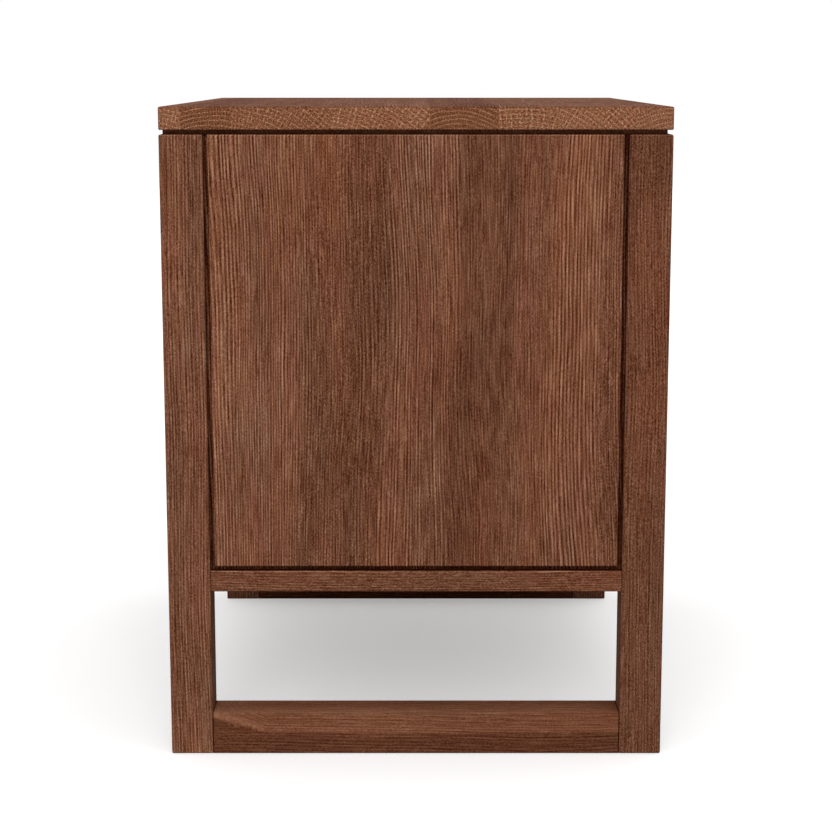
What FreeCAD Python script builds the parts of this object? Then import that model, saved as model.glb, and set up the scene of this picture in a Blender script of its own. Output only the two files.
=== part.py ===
"""A two-drawer nightstand of stained solid wood, built as frame-and-panel joinery.

Each side is a frame that stands on the floor: two square posts, a thin rail under the case and a
deeper stretcher on the floor. A raised panel fills the frame above the rail, with a dark reveal all
round it. Cross rails join the two side frames, and a top board floats over them on a thin recessed
spacer. Two drawers with dovetailed boxes and bevelled finger pulls run on ball-bearing slides.

Millimetres. The origin is the centre of the footprint on the floor, +Z is up, and the drawers open
towards -Y. Each piece is a separate solid, written to parts/NAME.step.
"""

import FreeCAD
import Part

import math
import os

# Driving dimensions: the whole piece
overall_width = 538.0
overall_depth = 420.0
overall_height = 550.0
leg_space = 143.5

# stock sizes
post_side = 35.5
top_thickness = 18.7
rail_height = 18.0
stretcher_height = 36.0
front_thickness = 18.0
arris = 0.8

# reveals round the top, the side panels and the drawer fronts
shadow_gap = 3.8
spacer_inset_front = 3.0
spacer_inset_rear = 4.5
spacer_inset_side = 4.0
panel_side_reveal = 4.4
panel_foot_reveal = 4.0
front_side_reveal = 4.4
front_foot_reveal = 4.0
finger_gap = 18.0

# side panels
panel_thickness = 18.0
panel_relief = 8.0
panel_tongue = 8.0

# back and bottom panels, held in grooves
back_thickness = 9.0
back_setback = 11.0
back_edge = 7.0
bottom_thickness = 9.0
bottom_edge = 7.0

# mortise and tenon joints
glue_gap = 0.1
end_gap = 0.8
tenon_length = 20.0
rail_shoulder = 4.0
stretcher_shoulder = 8.0
cross_shoulder = 8.0
mortise_wall = 2.0

# members inside the case
top_rail_depth = 60.0
finger_room = 7.0
batten_height = 95.0
cleat_height = 28.0

# drawers
pull_bevel_height = 22.0
pull_edge = 8.0
box_wall = 12.0
box_lift = 12.0
box_top_drop = 9.0
box_rear_space = 30.0
box_bottom_thickness = 6.0
box_bottom_lift = 8.0
box_bottom_edge = 6.0
tail_count = 4
tail_end_share = 0.72
tail_neck_share = 0.56

# ball-bearing slides
slide_height = 45.0
slide_lift = 40.0
slide_front_gap = 2.0
slide_sheet = 1.2
ball_radius = 2.0
race_gap = 0.15
cage_sheet = 0.5
web_gap = 0.2
tip_land = 1.0
curl_gap = 0.65
curl_angle = 20.0
window_gap = 0.2
ball_count = 3
ball_ring_shares = (0.92, 0.38)
cage_start_share = 0.257
cage_length_share = 0.486

# small turned pieces: balls and screws
turned_sides = 8

# screws
screw_radius = 2.2
screw_head_radius = 4.2
screw_head_height = 2.6
screw_crown_share = 0.6
screw_hole_gap = 0.1
top_screw_share = 0.3
top_screw_reach_share = 0.6
front_screw_across_share = 0.7
front_screw_up_shares = (0.3, 0.8)
front_screw_reach_share = 0.6
slide_screw_radius = 1.8
slide_screw_head_radius = 3.4
slide_screw_head_depth = 2.0
slide_screw_length = 11.0
slide_screw_shares = (0.1, 0.5, 0.9)

# Places that follow from those sizes
half_width = overall_width / 2
half_depth = overall_depth / 2
inner_x = half_width - post_side
inner_y = half_depth - post_side
rail_top = leg_space + rail_height
post_top = overall_height - top_thickness - shadow_gap
top_rail_foot = post_top - rail_height

panel_face_x = half_width - panel_relief
panel_back_x = half_width - panel_thickness
cross_tenon_x = panel_back_x - mortise_wall

back_face_y = half_depth - back_setback
back_inner_y = back_face_y - back_thickness

front_height = (post_top - rail_top - front_foot_reveal - 2 * finger_gap) / 2
lower_front_foot = rail_top + front_foot_reveal
upper_front_foot = lower_front_foot + front_height + finger_gap
middle_rail_foot = upper_front_foot - finger_gap / 2 - rail_height / 2
lower_slide_z = lower_front_foot + box_lift + slide_lift
upper_slide_z = upper_front_foot + box_lift + slide_lift
set_back_y = -half_depth + front_thickness + finger_room

race_radius = ball_radius + race_gap
curl_radius = race_radius + slide_sheet
outer_ball_s = slide_sheet + race_radius
outer_ball_v = slide_height / 2 - curl_radius
middle_web_s = slide_sheet + web_gap + cage_sheet + web_gap
inner_cage_s = middle_web_s + slide_sheet + web_gap
inner_ball_v = outer_ball_v - race_radius - curl_radius
inner_tip_s = inner_cage_s + cage_sheet + web_gap
inner_ball_s = inner_tip_s + tip_land + race_radius
inner_web_s = inner_ball_s + curl_radius + curl_gap
slide_width = inner_web_s + slide_sheet

box_x = inner_x - slide_width
box_front_y = -half_depth + front_thickness
box_back_y = back_inner_y - box_rear_space
box_height = front_height - pull_bevel_height - box_lift - box_top_drop
slide_front_y = box_front_y + slide_front_gap
slide_length = box_back_y - slide_front_y

top_screw_length = rail_height + shadow_gap + top_thickness * top_screw_reach_share
front_screw_length = box_wall + front_thickness * front_screw_reach_share

PARALLEL_LIMIT = 1e-6
ALONG_X = FreeCAD.Vector(1, 0, 0)
ALONG_Y = FreeCAD.Vector(0, 1, 0)
ALONG_Z = FreeCAD.Vector(0, 0, 1)
CENTRE = FreeCAD.Vector(0, 0, 0)


# Shapes shared by many pieces
def block(x0, x1, y0, y1, z0, z1):
    """A box between two corners."""
    return Part.makeBox(x1 - x0, y1 - y0, z1 - z0, FreeCAD.Vector(x0, y0, z0))


def grown(bounds, across, along_x=0.0, along_y=0.0):
    """The bounds of a tenon or tongue, opened on every face into the bounds of its mortise or groove."""
    x0, x1, y0, y1, z0, z1 = bounds
    gap_x = across + along_x
    gap_y = across + along_y
    return (x0 - gap_x, x1 + gap_x, y0 - gap_y, y1 + gap_y, z0 - across, z1 + across)


def eased(solid, directions=(ALONG_X, ALONG_Y, ALONG_Z)):
    """A solid whose edges along the given directions are planed off, so that none is sharp."""
    chosen = [
        edge
        for edge in solid.Edges
        if any(
            edge.tangentAt(edge.FirstParameter).cross(way).Length < PARALLEL_LIMIT
            for way in directions
        )
    ]
    return solid.makeChamfer(arris, chosen)


def mirrored(solid):
    """The same piece on the left side of the nightstand."""
    return solid.mirror(CENTRE, ALONG_X)


def flat(points):
    """A flat face with these corners."""
    return Part.Face(Part.makePolygon([*points, points[0]]))


def prism(points, direction):
    """A flat outline pushed along a direction."""
    return flat(points).extrude(direction)


def turned(profile, seat, direction):
    """A small turned piece, drawn with flat sides.

    The profile is pairs of a distance from the seat along the direction, and the radius there.
    """
    side = FreeCAD.Vector(direction.y, direction.z, direction.x)
    other = direction.cross(side)
    rings = []
    for along, radius in profile:
        turns = [2 * math.pi * (number + 1 / 2) / turned_sides for number in range(turned_sides)]
        rings.append(
            [
                seat + direction * along + (side * math.cos(turn) + other * math.sin(turn)) * radius
                for turn in turns
            ]
        )
    faces = [flat(rings[0]), flat(rings[-1])]
    for low, high in zip(rings, rings[1:]):
        for number in range(turned_sides):
            after = (number + 1) % turned_sides
            faces.append(flat([low[number], low[after], high[after], high[number]]))
    return Part.makeSolid(Part.makeShell(faces))


# Tenons, tongues and panels: one set of bounds serves the piece and its seat
rail_tenon_levels = (leg_space + rail_shoulder, rail_top - rail_shoulder)
side_tenon_y = inner_y + tenon_length

side_rail_tenon = (panel_back_x, panel_face_x, -side_tenon_y, side_tenon_y, *rail_tenon_levels)
stretcher_tenon = (
    panel_back_x,
    panel_face_x,
    -side_tenon_y,
    side_tenon_y,
    stretcher_shoulder,
    stretcher_height - stretcher_shoulder,
)
side_tongue_wide = (
    panel_back_x,
    panel_face_x,
    -inner_y - panel_tongue,
    inner_y + panel_tongue,
    rail_top + glue_gap,
    post_top,
)
side_tongue_tall = (
    panel_back_x,
    panel_face_x,
    -inner_y + glue_gap,
    inner_y - glue_gap,
    rail_top - panel_tongue,
    post_top,
)
bottom_wide = (
    -inner_x - bottom_edge,
    inner_x + bottom_edge,
    -inner_y + glue_gap,
    inner_y - glue_gap,
    leg_space + (rail_height - bottom_thickness) / 2,
    leg_space + (rail_height + bottom_thickness) / 2,
)
bottom_deep = (
    -inner_x + glue_gap,
    inner_x - glue_gap,
    -inner_y - bottom_edge,
    inner_y + bottom_edge,
    leg_space + (rail_height - bottom_thickness) / 2,
    leg_space + (rail_height + bottom_thickness) / 2,
)
back_wide = (
    -inner_x - back_edge,
    inner_x + back_edge,
    back_inner_y,
    back_face_y,
    rail_top + glue_gap,
    top_rail_foot - glue_gap,
)
back_tall = (
    -inner_x + glue_gap,
    inner_x - glue_gap,
    back_inner_y,
    back_face_y,
    rail_top - back_edge,
    top_rail_foot + back_edge,
)


def cross_tenon(y0, y1, foot):
    """The tenon bar of a rail that crosses from side to side, for a rail of those edges and that foot."""
    return (
        -cross_tenon_x,
        cross_tenon_x,
        y0 + cross_shoulder,
        y1 - cross_shoulder,
        foot + rail_shoulder,
        foot + rail_height - rail_shoulder,
    )


front_rail_tenon = cross_tenon(-half_depth, -inner_y, leg_space)
rear_rail_tenon = cross_tenon(inner_y, half_depth, leg_space)
rear_top_tenon = cross_tenon(inner_y, half_depth, top_rail_foot)
front_top_tenon = cross_tenon(-inner_y, set_back_y + top_rail_depth, top_rail_foot)
middle_tenon = cross_tenon(-inner_y, set_back_y + top_rail_depth, middle_rail_foot)


def mortise(bounds):
    """The hole that a tenon seats in, a little deeper than the tenon is long."""
    along_x = end_gap if bounds[0] == -bounds[1] else 0.0
    along_y = end_gap if bounds[2] == -bounds[3] else 0.0
    return block(*grown(bounds, glue_gap, along_x, along_y))


# Screws
def screw(length, x, y, z, direction):
    """A pan-head wood screw with its head's seat at the point and its shank along the direction."""
    profile = [
        (-screw_head_height, screw_head_radius * screw_crown_share),
        (-screw_head_height / 2, screw_head_radius),
        (0, screw_head_radius),
        (0, screw_radius),
        (length, screw_radius),
    ]
    return turned(profile, FreeCAD.Vector(x, y, z), direction)


def screw_hole(length, x, y, z, direction):
    """The hole that a screw's shank fills, open at the screw's seat."""
    radius = screw_radius + screw_hole_gap
    profile = [(0, radius), (length + screw_hole_gap, radius)]
    return turned(profile, FreeCAD.Vector(x, y, z), direction)


def slide_screw_places():
    """How far back the screws of a slide are."""
    return [slide_front_y + slide_length * share for share in slide_screw_shares]


def slide_screw(s, y, middle_z, direction, gap=0.0):
    """A flat-head screw of the right slide, flush at depth s, or the hole for it, if a gap is given."""
    profile = [
        (0, slide_screw_head_radius + gap),
        (slide_screw_head_depth, slide_screw_radius + gap),
        (slide_screw_length + gap, slide_screw_radius + gap),
    ]
    return turned(profile, FreeCAD.Vector(inner_x - s, y, middle_z), direction)


def case_slide_screws(middle_z, gap=0.0):
    """The screws that hold the right slide's outer member to its batten, or their holes."""
    return [slide_screw(slide_sheet, y, middle_z, ALONG_X, gap) for y in slide_screw_places()]


def drawer_slide_screws(middle_z, gap=0.0):
    """The screws that hold the right slide's inner member to the drawer's side, or their holes."""
    return [slide_screw(inner_web_s, y, middle_z, -ALONG_X, gap) for y in slide_screw_places()]


# Top
def top_screw_places():
    """Where the screws come up through the top rails into the top."""
    front_y = set_back_y + top_rail_depth / 2
    rear_y = (inner_y + back_inner_y) / 2
    pitch = overall_width * top_screw_share
    return [(x, y) for y in (front_y, rear_y) for x in (-pitch, 0, pitch)]


def drilled_for_top(solid):
    """A top, spacer or top rail with the holes of the screws that hold the top."""
    for x, y in top_screw_places():
        solid = solid.cut(screw_hole(top_screw_length, x, y, top_rail_foot, ALONG_Z))
    return solid


def top_panel():
    """The top board, flush with the posts on all four sides."""
    slab = block(
        -half_width, half_width, -half_depth, half_depth, overall_height - top_thickness, overall_height
    )
    return drilled_for_top(eased(slab))


def top_spacer():
    """The thin board that lifts the top and stands back from its edges, which makes the shadow line."""
    return drilled_for_top(
        block(
            -half_width + spacer_inset_side,
            half_width - spacer_inset_side,
            -half_depth + spacer_inset_front,
            half_depth - spacer_inset_rear,
            post_top,
            post_top + shadow_gap,
        )
    )


def top_screws():
    """The six screws that hold the top, driven up through the two top rails."""
    return Part.makeCompound(
        [screw(top_screw_length, x, y, top_rail_foot, ALONG_Z) for x, y in top_screw_places()]
    )


# Side frames
def right_post(is_front):
    """A square post of the right side frame, with the mortises and grooves of what meets it."""
    if is_front:
        y0, y1 = -half_depth, -inner_y
        seats = [front_rail_tenon]
        grooves = []
    else:
        y0, y1 = inner_y, half_depth
        seats = [rear_rail_tenon, rear_top_tenon]
        grooves = [grown(back_wide, glue_gap, along_x=end_gap)]
    post = eased(block(inner_x, half_width, y0, y1, 0, post_top))
    for bounds in [side_rail_tenon, stretcher_tenon, *seats]:
        post = post.cut(mortise(bounds))
    grooves.append(grown(side_tongue_wide, glue_gap, along_y=end_gap))
    for bounds in grooves:
        post = post.cut(block(*bounds))
    return post


def right_lower_rail():
    """The thin rail under the side panel, tenoned into both posts and grooved for the two panels."""
    rail = eased(
        block(inner_x, half_width, -inner_y, inner_y, leg_space, rail_top), (ALONG_Y,)
    )
    rail = rail.fuse(block(*side_rail_tenon))
    for bounds in (side_tongue_tall, bottom_wide):
        rail = rail.cut(block(*grown(bounds, glue_gap)))
    return rail


def right_floor_stretcher():
    """The deeper stretcher that lies on the floor between the posts."""
    bar = eased(block(inner_x, half_width, -inner_y, inner_y, 0, stretcher_height), (ALONG_Y,))
    return bar.fuse(block(*stretcher_tenon))


def right_side_panel():
    """The side panel: a raised field flush with the posts, on a thinner tongue set in their grooves."""
    field = block(
        panel_back_x,
        half_width,
        -inner_y + panel_side_reveal,
        inner_y - panel_side_reveal,
        rail_top + panel_foot_reveal,
        post_top,
    )
    outer_edges = [edge for edge in field.Edges if edge.CenterOfMass.x > half_width - arris]
    field = field.makeChamfer(arris, outer_edges)
    panel = field.fuse([block(*side_tongue_wide), block(*side_tongue_tall)])
    return panel.removeSplitter()


def right_batten(foot, middle_z):
    """A batten inside the side panel that carries one slide, flush with the posts' inner faces."""
    batten = block(inner_x, panel_back_x, -inner_y, inner_y, foot, foot + batten_height)
    return batten.cut([mortise(middle_tenon), *case_slide_screws(middle_z, screw_hole_gap)])


def right_top_cleat():
    """The cleat under the top, which the front top rail is tenoned into."""
    cleat = block(inner_x, panel_back_x, -inner_y, inner_y, post_top - cleat_height, post_top)
    return cleat.cut(mortise(front_top_tenon))


# Rails that cross from side to side
def cross_rail(y0, y1, foot, tenon, easing=()):
    """A rail between the two side frames, with a tenon at each end."""
    rail = block(-inner_x, inner_x, y0, y1, foot, foot + rail_height)
    if easing:
        rail = eased(rail, easing)
    return rail.fuse(block(*tenon))


def front_lower_rail():
    """The rail under the lower drawer, flush with the front of the posts."""
    rail = cross_rail(-half_depth, -inner_y, leg_space, front_rail_tenon, (ALONG_X,))
    return rail.cut(block(*grown(bottom_deep, glue_gap)))


def rear_lower_rail():
    """The rail under the back panel."""
    rail = cross_rail(inner_y, half_depth, leg_space, rear_rail_tenon, (ALONG_X,))
    for bounds in (bottom_deep, back_tall):
        rail = rail.cut(block(*grown(bounds, glue_gap)))
    return rail


def rear_top_rail():
    """The rail over the back panel, under the top."""
    rail = cross_rail(inner_y, half_depth, top_rail_foot, rear_top_tenon, (ALONG_X,))
    return drilled_for_top(rail.cut(block(*grown(back_tall, glue_gap))))


def front_top_rail():
    """The rail behind the upper drawer's finger gap, which the top is screwed to."""
    rail = cross_rail(
        set_back_y, set_back_y + top_rail_depth, top_rail_foot, front_top_tenon
    )
    return drilled_for_top(rail)


def middle_rail():
    """The rail behind the gap between the two drawers."""
    return cross_rail(set_back_y, set_back_y + top_rail_depth, middle_rail_foot, middle_tenon)


def bottom_panel():
    """The thin board that closes the case below, held in the four lower rails."""
    return block(*bottom_wide).fuse(block(*bottom_deep)).removeSplitter()


def back_panel():
    """The back board, held in the rear posts and the two rear rails."""
    return block(*back_wide).fuse(block(*back_tall)).removeSplitter()


# Drawers
def front_screw_places(front_foot):
    """Where the screws go through the drawer box into the drawer front."""
    box_foot = front_foot + box_lift
    across = box_x * front_screw_across_share
    return [(x, box_foot + box_height * share) for share in front_screw_up_shares for x in (-across, across)]


def drilled_for_front(board, front_foot):
    """A drawer front or box front with the holes of the screws that hold the front."""
    for x, z in front_screw_places(front_foot):
        board = board.cut(screw_hole(front_screw_length, x, box_front_y + box_wall, z, -ALONG_Y))
    return board


def drawer_front(foot):
    """A drawer front whose top edge is bevelled behind, so that fingers hook over it."""
    head = foot + front_height
    back_y = -half_depth + front_thickness
    outline = [
        (-half_depth, foot),
        (back_y, foot),
        (back_y, head - pull_bevel_height),
        (-half_depth + pull_edge, head),
        (-half_depth, head),
    ]
    x0 = -inner_x + front_side_reveal
    corners = [FreeCAD.Vector(x0, y, z) for y, z in outline]
    front = prism(corners, ALONG_X * (-2 * x0))
    return drilled_for_front(front.makeChamfer(arris, front.Edges), foot)


def tails(x0, x1, end_y, neck_y, foot):
    """The dovetails at one end of a drawer side, wider at the end than at the neck."""
    pitch = box_height / tail_count
    solids = []
    for number in range(tail_count):
        middle_z = foot + pitch * (number + 1 / 2)
        wide = pitch * tail_end_share / 2
        narrow = pitch * tail_neck_share / 2
        corners = [
            FreeCAD.Vector(x0, end_y, middle_z - wide),
            FreeCAD.Vector(x0, end_y, middle_z + wide),
            FreeCAD.Vector(x0, neck_y, middle_z + narrow),
            FreeCAD.Vector(x0, neck_y, middle_z - narrow),
        ]
        solids.append(prism(corners, ALONG_X * (x1 - x0)))
    return solids


def box_tails(foot):
    """All the dovetails of one drawer's right side: at its front and at its back."""
    front = tails(box_x - box_wall, box_x, box_front_y, box_front_y + box_wall, foot)
    back = tails(box_x - box_wall, box_x, box_back_y, box_back_y - box_wall, foot)
    return front + back


def box_bottom_bounds(foot, gap=0.0):
    """The drawer's bottom, or the groove that holds it, if a gap is given."""
    x = box_x - box_wall + box_bottom_edge
    y0 = box_front_y + box_wall - box_bottom_edge
    y1 = box_back_y - box_wall + box_bottom_edge
    z = foot + box_bottom_lift
    return grown((-x, x, y0, y1, z, z + box_bottom_thickness), gap)


def box_right_side(foot):
    """A drawer side with its dovetails, the groove for the bottom and the holes for the slide."""
    side = block(
        box_x - box_wall,
        box_x,
        box_front_y + box_wall,
        box_back_y - box_wall,
        foot,
        foot + box_height,
    )
    side = side.fuse(box_tails(foot)).removeSplitter()
    holes = drawer_slide_screws(foot + slide_lift, screw_hole_gap)
    return side.cut([block(*box_bottom_bounds(foot, glue_gap)), *holes])


def box_end(y0, y1, foot):
    """The front or back board of a drawer box, cut away where the sides' dovetails pass through."""
    end = block(-box_x, box_x, y0, y1, foot, foot + box_height)
    sockets = box_tails(foot)
    end = end.cut([*sockets, *[mirrored(socket) for socket in sockets]])
    return end.cut(block(*box_bottom_bounds(foot, glue_gap)))


def box_front(foot):
    """The front board of a drawer box."""
    return drilled_for_front(box_end(box_front_y, box_front_y + box_wall, foot), foot - box_lift)


def front_screws(front_foot):
    """The four screws inside a drawer that hold its front."""
    return Part.makeCompound(
        [
            screw(front_screw_length, x, box_front_y + box_wall, z, -ALONG_Y)
            for x, z in front_screw_places(front_foot)
        ]
    )


# Ball-bearing slides
# A slide's section is drawn with s, the distance in from the case wall, and v, the height over the
# slide's middle. The outer member is on the case, the inner one on the drawer, and the middle one
# runs between them on two cages of balls.
def slide_point(s, v, middle_z):
    """A point of the right slide's section, at the slide's front end."""
    return FreeCAD.Vector(inner_x - s, slide_front_y, middle_z + v)


def race_point(ball_s, ball_v, radius, angle, middle_z):
    """A point on a circle round a ball's centre, the angle counted from +s towards +v."""
    turn = math.radians(angle)
    return slide_point(ball_s + radius * math.cos(turn), ball_v + radius * math.sin(turn), middle_z)


def race_arc(ball_s, ball_v, radius, start, end, middle_z):
    """An arc round a ball's centre."""
    angles = (start, (start + end) / 2, end)
    return Part.Arc(*[race_point(ball_s, ball_v, radius, angle, middle_z) for angle in angles]).toShape()


def section(edges, length=None):
    """A section's closed outline, pushed back along the slide."""
    outline = Part.Wire(Part.__sortEdges__(edges))
    return Part.Face(outline).extrude(ALONG_Y * (slide_length if length is None else length))


def half_and_mirror(edges, middle_z):
    """The edges of the upper half of a section, with the same ones below its middle."""
    middle = FreeCAD.Vector(0, 0, middle_z)
    return [*edges, *[edge.mirror(middle, ALONG_Z) for edge in edges]]


def line(*points):
    """Straight edges through the points in turn."""
    return [Part.makeLine(a, b) for a, b in zip(points, points[1:])]


def slide_outer(middle_z):
    """The case member: a web whose two edges curl round the outer balls."""
    ball = (outer_ball_s, outer_ball_v)
    half = [
        *line(slide_point(0, 0, middle_z), slide_point(0, outer_ball_v, middle_z)),
        race_arc(*ball, curl_radius, 180, -curl_angle, middle_z),
        *line(
            race_point(*ball, curl_radius, -curl_angle, middle_z),
            race_point(*ball, race_radius, -curl_angle, middle_z),
        ),
        race_arc(*ball, race_radius, -curl_angle, 180, middle_z),
        *line(slide_point(slide_sheet, outer_ball_v, middle_z), slide_point(slide_sheet, 0, middle_z)),
    ]
    member = section(half_and_mirror(half, middle_z)).removeSplitter()
    return member.cut(case_slide_screws(middle_z, screw_hole_gap))


def slide_middle(middle_z):
    """The middle member: its flanges roll under the outer balls and curl round the inner ones."""
    ball = (inner_ball_s, inner_ball_v)
    half = [
        *line(
            slide_point(middle_web_s, 0, middle_z),
            slide_point(middle_web_s, inner_ball_v + curl_radius, middle_z),
            slide_point(inner_ball_s, inner_ball_v + curl_radius, middle_z),
        ),
        race_arc(*ball, curl_radius, 90, -curl_angle, middle_z),
        *line(
            race_point(*ball, curl_radius, -curl_angle, middle_z),
            race_point(*ball, race_radius, -curl_angle, middle_z),
        ),
        race_arc(*ball, race_radius, -curl_angle, 90, middle_z),
        *line(
            slide_point(inner_ball_s, inner_ball_v + race_radius, middle_z),
            slide_point(middle_web_s + slide_sheet, inner_ball_v + race_radius, middle_z),
            slide_point(middle_web_s + slide_sheet, 0, middle_z),
        ),
    ]
    return section(half_and_mirror(half, middle_z)).removeSplitter()


def slide_inner(middle_z):
    """The drawer member: a channel whose flanges lie under the inner balls."""
    flange_v = inner_ball_v - race_radius
    half = line(
        slide_point(slide_width, 0, middle_z),
        slide_point(slide_width, flange_v, middle_z),
        slide_point(inner_tip_s, flange_v, middle_z),
        slide_point(inner_tip_s, flange_v - slide_sheet, middle_z),
        slide_point(inner_web_s, flange_v - slide_sheet, middle_z),
        slide_point(inner_web_s, 0, middle_z),
    )
    member = section(half_and_mirror(half, middle_z)).removeSplitter()
    return member.cut(drawer_slide_screws(middle_z, screw_hole_gap))


def ball_profile():
    """A ball's rings from its foot to its head, each at its height over the ball's centre."""
    heights = [ball_radius * share for share in ball_ring_shares]
    levels = [-heights[0], -heights[1], heights[1], heights[0]]
    return [(level, math.sqrt(ball_radius**2 - level**2)) for level in levels]


def ball_cage(ball_s, ball_v, web_s, middle_z):
    """A cage with its balls: a channel of thin sheet whose flanges have a window under each ball."""
    foot_v = ball_v - race_radius + web_gap / 2
    tip_s = ball_s + ball_radius
    half = line(
        slide_point(web_s, 0, middle_z),
        slide_point(web_s, foot_v + cage_sheet, middle_z),
        slide_point(tip_s, foot_v + cage_sheet, middle_z),
        slide_point(tip_s, foot_v, middle_z),
        slide_point(web_s + cage_sheet, foot_v, middle_z),
        slide_point(web_s + cage_sheet, 0, middle_z),
    )
    length = slide_length * cage_length_share
    cage = section(half_and_mirror(half, middle_z), length).removeSplitter()
    cage.translate(ALONG_Y * (slide_length * cage_start_share))
    window = ball_radius - window_gap
    start_y = slide_front_y + slide_length * cage_start_share
    balls = []
    for number in range(ball_count):
        y = start_y + length * (number + 1 / 2) / ball_count
        for side in (-1, 1):
            centre = FreeCAD.Vector(inner_x - ball_s, y, middle_z + side * ball_v)
            balls.append(turned(ball_profile(), centre, ALONG_Z))
            cage = cage.cut(
                block(
                    centre.x - window,
                    centre.x + window,
                    y - window,
                    y + window,
                    centre.z - race_radius,
                    centre.z + race_radius,
                )
            )
    return [cage, *balls]


def outer_cage(middle_z):
    """The cage between the case member and the middle member."""
    return ball_cage(outer_ball_s, outer_ball_v, slide_sheet + web_gap, middle_z)


def inner_cage(middle_z):
    """The cage between the middle member and the drawer member."""
    return ball_cage(inner_ball_s, inner_ball_v, inner_cage_s, middle_z)


def both_sides(solids):
    """One group of pieces that holds the given ones and their mirror images."""
    return Part.makeCompound([*solids, *[mirrored(solid) for solid in solids]])


# The whole nightstand
def carcass_pieces():
    """Every piece that stands still, by name."""
    pieces = {
        "top_panel": top_panel(),
        "top_spacer": top_spacer(),
        "top_screws": top_screws(),
        "front_lower_rail": front_lower_rail(),
        "rear_lower_rail": rear_lower_rail(),
        "front_top_rail": front_top_rail(),
        "rear_top_rail": rear_top_rail(),
        "middle_rail": middle_rail(),
        "bottom_panel": bottom_panel(),
        "back_panel": back_panel(),
        "case_slide_screws": both_sides(
            case_slide_screws(lower_slide_z) + case_slide_screws(upper_slide_z)
        ),
    }
    right = {
        "front_post": right_post(is_front=True),
        "rear_post": right_post(is_front=False),
        "lower_rail": right_lower_rail(),
        "floor_stretcher": right_floor_stretcher(),
        "side_panel": right_side_panel(),
        "lower_batten": right_batten(rail_top, lower_slide_z),
        "upper_batten": right_batten(middle_rail_foot, upper_slide_z),
        "top_cleat": right_top_cleat(),
    }
    for name, solid in right.items():
        pieces["right_" + name] = solid
        pieces["left_" + name] = mirrored(solid)
    return pieces


def drawer_pieces(level, front_foot):
    """Every piece of one drawer and its slides, by name."""
    box_foot = front_foot + box_lift
    middle_z = box_foot + slide_lift
    side = box_right_side(box_foot)
    pieces = {
        "drawer_front": drawer_front(front_foot),
        "box_front": box_front(box_foot),
        "box_back": box_end(box_back_y - box_wall, box_back_y, box_foot),
        "box_bottom": block(*box_bottom_bounds(box_foot)),
        "box_right_side": side,
        "box_left_side": mirrored(side),
        "front_screws": front_screws(front_foot),
        "drawer_slide_screws": both_sides(drawer_slide_screws(middle_z)),
        "outer_ball_cages": both_sides(outer_cage(middle_z)),
        "inner_ball_cages": both_sides(inner_cage(middle_z)),
    }
    members = {"slide_outer": slide_outer, "slide_middle": slide_middle, "slide_inner": slide_inner}
    for name, make in members.items():
        member = make(middle_z)
        pieces["right_" + name] = member
        pieces["left_" + name] = mirrored(member)
    return {level + "_" + name: solid for name, solid in pieces.items()}


def write_pieces():
    """Writes one STEP file for each piece."""
    os.makedirs("parts", exist_ok=True)
    pieces = carcass_pieces()
    pieces.update(drawer_pieces("upper", upper_front_foot))
    pieces.update(drawer_pieces("lower", lower_front_foot))
    for name, solid in pieces.items():
        solid.exportStep("parts/" + name + ".step")


write_pieces()
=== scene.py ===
"""Looks of a two-drawer bedside cabinet in stained oak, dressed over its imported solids.

Lengths are metres, in the frame of the solids: X runs across the drawers, which face -Y, and Z
goes up from the floor. The wooden and sheet solids keep their shape and get procedural finishes.
The screws and the ball cages of the slides are built again in finer detail.
"""

import logging
import math
from collections.abc import Iterable, Sequence
from dataclasses import dataclass
from enum import Enum

import bmesh
import bpy
from mathutils import Matrix, Vector


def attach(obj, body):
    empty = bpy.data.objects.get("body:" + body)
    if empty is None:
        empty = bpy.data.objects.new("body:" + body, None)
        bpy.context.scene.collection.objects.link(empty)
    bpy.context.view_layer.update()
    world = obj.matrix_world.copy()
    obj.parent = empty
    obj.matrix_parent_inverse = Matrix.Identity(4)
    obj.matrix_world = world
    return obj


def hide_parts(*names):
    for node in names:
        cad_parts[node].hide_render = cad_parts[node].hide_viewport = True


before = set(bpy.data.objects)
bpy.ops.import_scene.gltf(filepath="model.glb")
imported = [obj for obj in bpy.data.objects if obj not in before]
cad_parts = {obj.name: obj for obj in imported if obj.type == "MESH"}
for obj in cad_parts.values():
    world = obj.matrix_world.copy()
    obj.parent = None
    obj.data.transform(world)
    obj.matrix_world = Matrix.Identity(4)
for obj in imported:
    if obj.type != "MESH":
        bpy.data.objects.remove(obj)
log = logging.getLogger("nightstand")

Triple = tuple[float, float, float]
Stops = Sequence[tuple[float, tuple[float, ...]]]

SHARP = math.radians(35)


def reach(node: str, axis: int) -> float:
    """How far a solid of the frame reaches along an axis, given as its number."""
    return max(vert.co[axis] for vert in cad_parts[node].data.vertices)


HALF_WIDTH = reach("top_panel", 0)
HALF_SPAN = -reach("right_front_post", 1)
RAIL_TOP = reach("right_lower_rail", 2)
POST_TOP = reach("right_front_post", 2)
SPACER_TOP = reach("top_spacer", 2)


class Axis(Enum):
    """A direction of the cabinet: across the drawers, from front to back, or up."""

    X = "X"
    Y = "Y"
    Z = "Z"


class Side(Enum):
    """A side of the cabinet, seen from the front."""

    LEFT = "left"
    RIGHT = "right"


class Level(Enum):
    """One of the two drawers."""

    UPPER = "upper"
    LOWER = "lower"


class Member(Enum):
    """A member of a slide, from the case to the drawer. A cage goes by the outer or the inner one."""

    OUTER = "outer"
    MIDDLE = "middle"
    INNER = "inner"


class Head(Enum):
    """The shape of a screw's head."""

    PAN = "pan"
    FLAT = "flat"


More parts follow.
